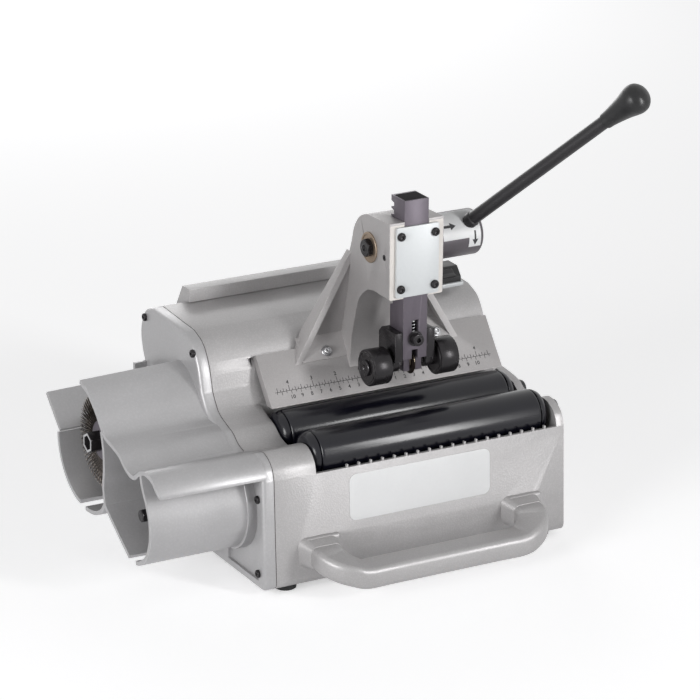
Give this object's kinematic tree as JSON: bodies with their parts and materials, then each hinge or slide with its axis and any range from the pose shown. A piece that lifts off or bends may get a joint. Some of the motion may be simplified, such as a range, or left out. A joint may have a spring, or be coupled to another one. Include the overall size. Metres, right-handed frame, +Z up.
{
  "type": "pipe end preparation machine",
  "caption": "Bench machine with driven rollers, a lever-fed wheel cutter, an inclined scale plate, a wire wheel and a reaming spindle in two barrel guards.",
  "frame": {"origin": "under the middle of the whole machine, on the bench", "axes": "+X to the right along the rollers, +Y to the back, +Z up"},
  "size_m": [0.4566, 0.3524, 0.4623],
  "materials": {
    "cast": "silver hammer paint on cast aluminium",
    "guard": "smooth silver painted casting",
    "pale": "satin plate",
    "roller_black": "gloss black",
    "black_steel": "black oxide",
    "grey_steel": "oiled grey steel",
    "bright": "bright",
    "bronze": "dull bronze",
    "black_plastic": "black",
    "rubber": "black",
    "motor_paint": "dark grey",
    "wire": "crimped wire"
  },
  "bodies": {
    "base": {"main_housing": "cast", "end_cover": "guard", "rear_cover": "cast", "bottom_plate": "grey_steel", "foot_front_left": "rubber", "foot_front_right": "rubber", "foot_rear_left": "rubber", "foot_rear_right": "rubber", "head_casting": "cast", "head_cover_plate": "pale", "pinion_bush_left": "bronze", "pinion_bush_right": "bronze", "rear_roller_bearing": "bright", "rear_roller_end_bush": "black_plastic", "front_roller_bearing": "bright", "front_roller_end_bush": "black_plastic", "layshaft_pin": "bright", "motor": "motor_paint", "motor_bearing": "bright", "rear_spindle_bearing_inner": "bright", "rear_spindle_bearing_outer": "bright", "front_spindle_bearing_inner": "bright", "front_spindle_bearing_outer": "bright", "switch_box": "black_plastic"},
    "rear_roller": {"rear_roller_sleeve": "roller_black", "rear_roller_shaft": "grey_steel"},
    "front_roller": {"front_roller_sleeve": "roller_black", "front_roller_shaft": "grey_steel"},
    "front_idler": {"front_idler_gear": "grey_steel"},
    "middle_idler": {"middle_idler_gear": "grey_steel"},
    "rear_idler": {"rear_idler_gear": "grey_steel"},
    "layshaft": {"layshaft_gear": "grey_steel"},
    "rear_tool": {"rear_spindle": "black_steel", "rear_spindle_gear": "grey_steel", "brush_hub": "black_steel", "wire_wheel_1": "wire", "wire_wheel_2": "wire", "wire_wheel_3": "wire"},
    "front_tool": {"front_spindle": "black_steel", "front_spindle_gear": "grey_steel"},
    "motor_rotor": {"motor_shaft": "bright"},
    "lever_shaft": {"pinion_shaft": "black_steel", "clutch_ring": "bright", "hub_spring": "bright", "hub_washer": "bright"},
    "lever": {"lever_hub": "grey_steel", "lever_rod": "black_steel", "lever_knob": "black_plastic"},
    "feed": {"feed_bar": "grey_steel", "cutter_pin": "bright", "carriage_spring": "bright"},
    "cutter": {"cutter_wheel": "bronze"},
    "carriage": {"roll_carriage": "black_steel", "roll_axle_left": "black_steel", "roll_axle_right": "black_steel", "carriage_screw": "black_steel"},
    "roll_left": {"support_roll_left": "black_steel"},
    "roll_right": {"support_roll_right": "black_steel"},
    "rocker": {"switch_rocker": "black_plastic"}
  },
  "joints": [
    {"name": "rear_roller_spin", "type": "hinge", "parent": "base", "child": "rear_roller", "pos_m": [0.059, -0.00009, 0.12], "axis": [1, 0, 0], "continuous": true},
    {"name": "front_roller_spin", "type": "hinge", "parent": "base", "child": "front_roller", "pos_m": [0.059, -0.05859, 0.12], "axis": [1, 0, 0], "continuous": true},
    {"name": "front_idler_spin", "type": "hinge", "parent": "base", "child": "front_idler", "pos_m": [0.059, -0.05443, 0.10044], "axis": [1, 0, 0], "continuous": true},
    {"name": "middle_idler_spin", "type": "hinge", "parent": "base", "child": "middle_idler", "pos_m": [0.059, -0.02934, 0.09524], "axis": [1, 0, 0], "continuous": true},
    {"name": "rear_idler_spin", "type": "hinge", "parent": "base", "child": "rear_idler", "pos_m": [0.059, -0.00425, 0.10044], "axis": [1, 0, 0], "continuous": true},
    {"name": "layshaft_spin", "type": "hinge", "parent": "base", "child": "layshaft", "pos_m": [0.059, 0.03075, 0.09099], "axis": [1, 0, 0], "continuous": true},
    {"name": "rear_tool_spin", "type": "hinge", "parent": "base", "child": "rear_tool", "pos_m": [0.059, 0.07841, 0.113], "axis": [1, 0, 0], "continuous": true},
    {"name": "front_tool_spin", "type": "hinge", "parent": "base", "child": "front_tool", "pos_m": [0.059, -0.02186, 0.07468], "axis": [1, 0, 0], "continuous": true},
    {"name": "motor_spin", "type": "hinge", "parent": "base", "child": "motor_rotor", "pos_m": [0.059, 0.10633, 0.15143], "axis": [1, 0, 0], "continuous": true},
    {"name": "lever_swing", "type": "hinge", "parent": "base", "child": "lever_shaft", "pos_m": [0.059, -0.00459, 0.2905], "axis": [1, 0, 0], "range_deg": [-90, 85]},
    {"name": "hub_pull", "type": "slide", "parent": "lever_shaft", "child": "lever", "axis": [1, 0, 0], "range_m": [0, 0.008], "stiffness_N_per_m": 1500, "springref_m": -0.004, "deforming": ["hub_spring"]},
    {"name": "feed_slide", "type": "slide", "parent": "base", "child": "feed", "axis": [0, 0, 1], "range_m": [-0.0225, 0.0245]},
    {"name": "cutter_spin", "type": "hinge", "parent": "feed", "child": "cutter", "pos_m": [0.059, -0.03056, 0.182], "axis": [1, 0, 0], "continuous": true},
    {"name": "carriage_float", "type": "slide", "parent": "feed", "child": "carriage", "axis": [0, 0, 1], "range_m": [0, 0.008], "stiffness_N_per_m": 1500, "springref_m": -0.004, "deforming": ["carriage_spring"]},
    {"name": "roll_left_spin", "type": "hinge", "parent": "carriage", "child": "roll_left", "pos_m": [0.059, -0.03056, 0.1825], "axis": [1, 0, 0], "continuous": true},
    {"name": "roll_right_spin", "type": "hinge", "parent": "carriage", "child": "roll_right", "pos_m": [0.059, -0.03056, 0.1825], "axis": [1, 0, 0], "continuous": true},
    {"name": "rocker_tip", "type": "hinge", "parent": "base", "child": "rocker", "pos_m": [0.159, 0.07326, 0.22055], "axis": [1, 0, 0], "range_deg": [-10, 0]}
  ],
  "couplings": [
    {"joint": "rear_idler_spin", "follows": "rear_roller_spin", "ratio": -0.45454},
    {"joint": "middle_idler_spin", "follows": "rear_roller_spin", "ratio": 0.52632},
    {"joint": "front_idler_spin", "follows": "rear_roller_spin", "ratio": -0.45454},
    {"joint": "front_roller_spin", "follows": "rear_roller_spin", "ratio": 1},
    {"joint": "front_tool_spin", "follows": "rear_roller_spin", "ratio": -0.625},
    {"joint": "layshaft_spin", "follows": "rear_roller_spin", "ratio": 0.27778},
    {"joint": "rear_tool_spin", "follows": "rear_roller_spin", "ratio": -0.88889},
    {"joint": "motor_spin", "follows": "rear_roller_spin", "ratio": 2.4889},
    {"joint": "feed_slide", "follows": "lever_swing", "m_per_rad": -0.014}
  ]
}
